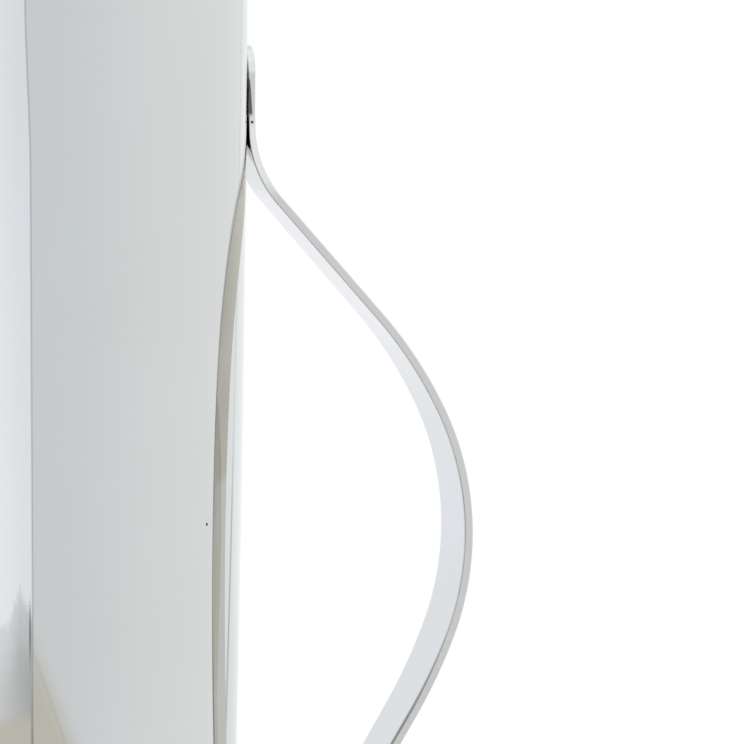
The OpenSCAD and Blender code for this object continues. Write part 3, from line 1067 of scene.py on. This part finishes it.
# Left of that edge stands a bright window, with a gable's shade and a dark post at the table
WINDOW_FAR = (1.03, 1.08, 1.15, 1)
WINDOW_NEAR = (0.955, 1.00, 1.075, 1)
WINDOW_SPAN = (-21, -2)
WINDOW_START = (-36, -27)
DIM_FOOT = -9
DIM_TOP = -4
DIM = 0.055
GABLE = -8
GABLE_TOP = -9.5
GABLE_SLOPE = 0.05
GABLE_NEAR_SLOPE = 0.032
GABLE_FADE = 0.17
GABLE_SPAN = 0.3
SHADE_FOOT = -10.4
SHADE_SPAN = (-22, -1.5)
SHADE_FAR = (0.765, 0.795, 0.83, 1)
SHADE_NEAR = (0.5, 0.515, 0.53, 1)
GABLE_BREAKS = 0.34
GABLE_GRAIN = (0.6, 11, 1)
POST = -2.1
POST_W = 0.9
POST_MIDDLE = -10.01
POST_H = 0.46
POST_DARK = 0.75
# A thin pole on the other side leans away from upright
POLE = 147.5
POLE_W = 2.3
POLE_FOOT = -9.2
POLE_TOP = -3
POLE_LEAN = 11
POLE_LEAN_MIDDLE = 0.47
POLE_LEAN_SPAN = (100, 130)
POLE_DARK = (0.15, 0.42)
POLE_DARK_TOP = -6.3
POLE_DARK_FOOT = -7.6
POLE_SHADE = 0.07
POLE_SHADE_SPAN = (-7, -9)
# Light above the camera, the upper room behind, and the ceiling
HIGH_FOOT = 3
HIGH_TOP = 16
HIGH_LEFT = (-25, 0)
HIGH_RIGHT = (110, 70)
HIGH_TONE = (1.02, 1.06, 1.12, 1)
BACK_LEFT = (138, 148)
BACK_RIGHT = (180, 172)
BACK_FOOT = 0
BACK_TOP = 5
BACK_TONE = (0.93, 0.92, 0.865, 1)
CEILING_FOOT = 38
CEILING_TOP = 68
CEILING_TONE = (1.09, 1.135, 1.2, 1)
# Table: its end left of the edge, its slanting side right of it with a seam
TABLE_TONE = (0.635, 0.632, 0.57, 1)
TABLE_END = (-10.75, -10.95)
TABLE_SIDE = (-9.82, -10.6)
TABLE_SLANT = 0.041
TABLE_SEAM = -10.233
TABLE_SEAM_SLANT = 0.0491
TABLE_SEAM_W = 0.07
TABLE_SEAM_DARK = 0.09
TABLE_SPAN = (42, 26)
TABLE_EDGE_STEP = 0.3
GROUND_FOOT = -30
GROUND_TOP = -17
GROUND_TONE = (0.86, 0.865, 0.87, 1)


def tone_ramp(tree, angle):
    """Colour of the room at an angle, from the list of tones."""
    ramp = add_node(tree, "ShaderNodeValToRGB", {"Fac": angle / 360 + 0.5})
    stops = ramp.color_ramp.elements
    for number, (at, tone) in enumerate(ROOM_TONES):
        place = at / 360 + 0.5
        if number == 0:
            stop = stops[0]
        elif number == len(ROOM_TONES) - 1:
            stop = stops[len(stops) - 1]
        else:
            stop = stops.new(place)
        stop.position = place
        stop.color = (*tone, 1)
    return ramp.outputs["Color"]


def soft_line(value, middle, half_width):
    """1 at the middle, fading to 0 half a width away from it."""
    return fade(work_out("ABSOLUTE", value - middle), half_width, 0.0)


def darken(tree, factor, tone):
    return mix_colour(tree, factor, tone, (0, 0, 0, 1))


def window_tone(tree, azimuth, elevation, tone):
    """Adds the edge beside the camera, and the window left of it."""
    left = fade(azimuth, EDGE + EDGE_STEP, EDGE - EDGE_STEP) * fade(azimuth, *WINDOW_START)
    light = mix_colour(tree, fade(azimuth, *WINDOW_SPAN), WINDOW_FAR, WINDOW_NEAR)
    light = darken(tree, DIM * fade(elevation, DIM_FOOT, DIM_TOP), light)
    spot = vector_of(tree, azimuth, elevation)
    grain = add_node(tree, "ShaderNodeMapping", {"Vector": spot, "Scale": GABLE_GRAIN})
    breaks = noise(tree, grain.outputs[0], 1.0, detail=3.0)
    eaves = work_out("MAXIMUM", (GABLE - azimuth) * GABLE_SLOPE, (azimuth - GABLE) * GABLE_NEAR_SLOPE)
    eaves = work_out("MINIMUM", eaves, GABLE_SPAN)
    roof = elevation + eaves + (breaks - 0.5) * GABLE_BREAKS
    gable = (fade(roof, GABLE_TOP, GABLE_TOP - GABLE_FADE) + fade(roof, GABLE_TOP, SHADE_FOOT)) * 0.5
    shade = mix_colour(tree, fade(azimuth, *SHADE_SPAN, smooth=False), SHADE_FAR, SHADE_NEAR)
    light = mix_colour(tree, gable, light, shade)
    post = soft_line(azimuth, POST, POST_W) * soft_line(elevation, POST_MIDDLE, POST_H)
    light = darken(tree, post * POST_DARK, light)
    tone = mix_colour(tree, left, tone, light)
    return darken(tree, soft_line(azimuth, EDGE, EDGE_W) * EDGE_DARK, tone)


def table_tone(tree, azimuth, elevation, tone):
    """Adds the table before the camera."""
    right = fade(azimuth, EDGE - TABLE_EDGE_STEP, EDGE + TABLE_EDGE_STEP)
    side = fade(elevation + azimuth * TABLE_SLANT, *TABLE_SIDE) * right
    end = fade(elevation, *TABLE_END) * (1 - right)
    before = fade(work_out("ABSOLUTE", azimuth), *TABLE_SPAN) * fade(elevation, GROUND_FOOT, GROUND_TOP)
    tone = mix_colour(tree, (side + end) * before, tone, TABLE_TONE)
    seam = soft_line(elevation + azimuth * TABLE_SEAM_SLANT, TABLE_SEAM, TABLE_SEAM_W) * right * before
    tone = darken(tree, seam * TABLE_SEAM_DARK, tone)
    foot = soft_line(azimuth, EDGE_FOOT_SIDE, EDGE_FOOT_W) * fade(elevation, *EDGE_FOOT) * before
    return mix_colour(tree, foot * EDGE_FOOT_DARK, tone, EDGE_BROWN)


def room_tone(tree, azimuth, elevation):
    """Colour of the surroundings: azimuth is to the right of the way to the camera, both in degrees."""
    bend = fade(elevation, EDGE_BEND_FOOT, EDGE_BEND_TOP) * EDGE_BEND
    lean = fade(elevation, POLE_FOOT, POLE_TOP, smooth=False) - POLE_LEAN_MIDDLE
    lean = lean * fade(azimuth, *POLE_LEAN_SPAN) * POLE_LEAN
    tone = tone_ramp(tree, azimuth + bend - lean)
    tone = window_tone(tree, azimuth + bend, elevation, tone)
    pole = soft_line(azimuth - lean, POLE, POLE_W)
    pole = pole * between(fade(elevation, POLE_DARK_TOP, POLE_DARK_FOOT), *POLE_DARK)
    tone = darken(tree, pole, tone)
    behind = fade(azimuth, *BACK_LEFT)
    tone = darken(tree, fade(elevation, *POLE_SHADE_SPAN) * behind * POLE_SHADE, tone)
    back = fade(elevation, BACK_FOOT, BACK_TOP) * behind * fade(azimuth, *BACK_RIGHT)
    tone = mix_colour(tree, back, tone, BACK_TONE)
    high = fade(elevation, HIGH_FOOT, HIGH_TOP) * fade(azimuth, *HIGH_LEFT) * fade(azimuth, *HIGH_RIGHT)
    tone = mix_colour(tree, high, tone, HIGH_TONE)
    tone = mix_colour(tree, fade(elevation, GROUND_TOP, GROUND_FOOT), tone, GROUND_TONE)
    tone = table_tone(tree, azimuth, elevation, tone)
    return mix_colour(tree, fade(elevation, CEILING_FOOT, CEILING_TOP), tone, CEILING_TONE)


def make_room():
    world = bpy.data.worlds.new("room")
    scene.world = world
    world.use_nodes = True
    world.cycles.sampling_method = "NONE"
    tree = world.node_tree
    tree.nodes.clear()
    x, y, z = parts_of(tree, tree.nodes.new("ShaderNodeTexCoord").outputs["Generated"])
    ahead = x * camera_front.x + y * camera_front.y
    aside = x * camera_right.x + y * camera_right.y
    azimuth = work_out("DEGREES", work_out("ARCTAN2", aside, ahead))
    elevation = work_out("DEGREES", work_out("ARCSINE", z))
    tone = room_tone(tree, azimuth, elevation)
    path = tree.nodes.new("ShaderNodeLightPath").outputs
    mirrored = work_out("MAXIMUM", Field(path["Is Glossy Ray"]), Field(path["Is Transmission Ray"]))
    soft = add_node(tree, "ShaderNodeBackground", {"Color": (1, 1, 1, 1), "Strength": ROOM_LIGHT})
    room = add_node(tree, "ShaderNodeBackground", {"Color": tone, "Strength": 1.0})
    white = add_node(tree, "ShaderNodeBackground", {"Color": (1, 1, 1, 1), "Strength": 1.0})
    lit = add_node(tree, "ShaderNodeMixShader", {0: mirrored, 1: soft.outputs[0], 2: room.outputs[0]})
    shown = add_node(tree, "ShaderNodeMixShader",
                     {0: Field(path["Is Camera Ray"]), 1: lit.outputs[0], 2: white.outputs[0]})
    output = tree.nodes.new("ShaderNodeOutputWorld")
    plug(shown.outputs[0], output.inputs["Surface"])


def floor_material():
    material = bpy.data.materials.new("pale_floor")
    material.use_nodes = True
    tree = material.node_tree
    tree.nodes.clear()
    place = tree.nodes.new("ShaderNodeTexCoord").outputs["Object"]
    away = add_node(tree, "ShaderNodeVectorMath", {0: place}, operation="LENGTH")
    path = tree.nodes.new("ShaderNodeLightPath").outputs
    seen = work_out("MAXIMUM", Field(path["Is Camera Ray"]), Field(path["Is Glossy Ray"]))
    plain = add_node(tree, "ShaderNodeBsdfDiffuse", {"Color": (FLOOR_GREY, FLOOR_GREY, FLOOR_GREY, 1)})
    side = fade(parts_of(tree, place)[0], *FLOOR_MIRRORED_SPAN)
    mirrored = mix_colour(tree, side, FLOOR_MIRRORED_LEFT, FLOOR_MIRRORED_RIGHT)
    tint = mix_colour(tree, Field(path["Is Glossy Ray"]), (1, 1, 1, 1), mirrored)
    glow = add_node(tree, "ShaderNodeEmission", {"Color": tint, "Strength": seen * FLOOR_GLOW})
    both = add_node(tree, "ShaderNodeAddShader", {0: plain.outputs[0], 1: glow.outputs[0]})
    clear = tree.nodes.new("ShaderNodeBsdfTransparent")
    faded = add_node(tree, "ShaderNodeMixShader",
                     {0: fade(Field(away.outputs["Value"]), FLOOR_FADE_R, FLOOR_R),
                      1: both.outputs[0], 2: clear.outputs[0]})
    plug(faded.outputs[0], tree.nodes.new("ShaderNodeOutputMaterial").inputs["Surface"])
    return material


def make_floor():
    radius = np.linspace(0, FLOOR_R, FLOOR_RINGS)[:, None]
    turn = np.linspace(0, math.tau, FLOOR_SEGMENTS + 1)[None, :]
    points = around(radius, turn, np.full(np.broadcast(radius, turn).shape, -FLOOR_DROP)).reshape(-1, 3)
    floor = new_object("floor", points, grid_faces(FLOOR_RINGS, FLOOR_SEGMENTS + 1))
    finish_mesh(floor, floor_material())


def make_lamp():
    data = bpy.data.lights.new("soft_lamp", "AREA")
    data.energy = LAMP_POWER
    data.size = LAMP_SIZE
    lamp = bpy.data.objects.new("soft_lamp", data)
    lamp.location = LAMP_PLACE
    lamp.rotation_mode = "QUATERNION"
    lamp.rotation_quaternion = (-Vector(LAMP_PLACE)).to_track_quat("-Z", "Y")
    lamp.visible_glossy = False
    scene.collection.objects.link(lamp)


# Materials and pieces

ROUND_LINES = {"stretch": (12, 12, 900), "depth": 0.0000003}
FOOT_LINES = {"stretch": (20, 20, 2500), "depth": 0.0000003}
BASE_LINES = {"stretch": (700, 700, 700), "depth": 0.000001}
STRAP_LINES = {"stretch": (30, 2500, 1), "depth": 0.0000002}
MIRROR_POLISH = (0.004, 0.012)
TAB_PIT_PLACE = (wall_r(PIT_Z) + STRAP_END_T / 2, -strap_half(PIT_Z, TAB_L), PIT_Z)
# A pit in the wall, drawn only as a painted shade: its place and radius
WALL_PIT_SHADE_PLACE = (0.02838, -0.02891, 0.16011)
WALL_PIT_SHADE_R = 0.00042

scene.view_settings.view_transform = "Standard"
make_camera()
make_room()
make_floor()
make_lamp()

wall_steel = steel("mirror_wall_steel", polish=MIRROR_POLISH, lines=ROUND_LINES, worn=0.09,
                   pit=(WALL_PIT_SHADE_PLACE, WALL_PIT_SHADE_R), satin="inner")
spout_steel = steel("mirror_spout_steel", polish=MIRROR_POLISH, lines=ROUND_LINES, worn=0.09,
                    satin="inner")
rim_steel = steel("rubbed_rim_steel", polish=(0.04, 0.07), lines=ROUND_LINES, worn=0.12)
foot_steel = steel("turned_foot_steel", polish=(0.05, 0.09), lines=FOOT_LINES, worn=0.16)
base_steel = steel("spun_base_steel", polish=(0.16, 0.26), lines=BASE_LINES, worn=0.3)
strap_steel = steel("polished_strap_steel", polish=(0.03, 0.06), lines=STRAP_LINES, worn=0.14,
                    tints=(STRAP_COOL, STRAP_WARM), pit=(TAB_PIT_PLACE, PIT_R),
                    uv="strap_line", filed_painted_reflection="filed_painted_reflection")
rivet_steel = steel("filed_rivet_steel", polish=(0.06, 0.1), lines=BASE_LINES, worn=0.16)

PIECES = (
    (make_wall(wall_steel), "body_shell", "wall_steel"),
    (make_spout(spout_steel), "spout", "wall_steel"),
    (make_rim(rim_steel), "rim_wire", "rim_steel"),
    (make_base(base_steel), "base_disc", "base_steel"),
    (make_foot(foot_steel), "foot_ring", "foot_steel"),
    (make_strap(strap_steel), "handle_strap", "strap_steel"),
    (make_rivets("upper_rivet_pair", UPPER_TAB_Z, rivet_steel), "upper_rivets", "rivet_steel"),
    (make_rivets("lower_rivet_pair", LOWER_TAB_Z, rivet_steel), "lower_rivets", "rivet_steel"),
)

for piece, node, slot in PIECES:
    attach(piece, "root")
    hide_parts(node)
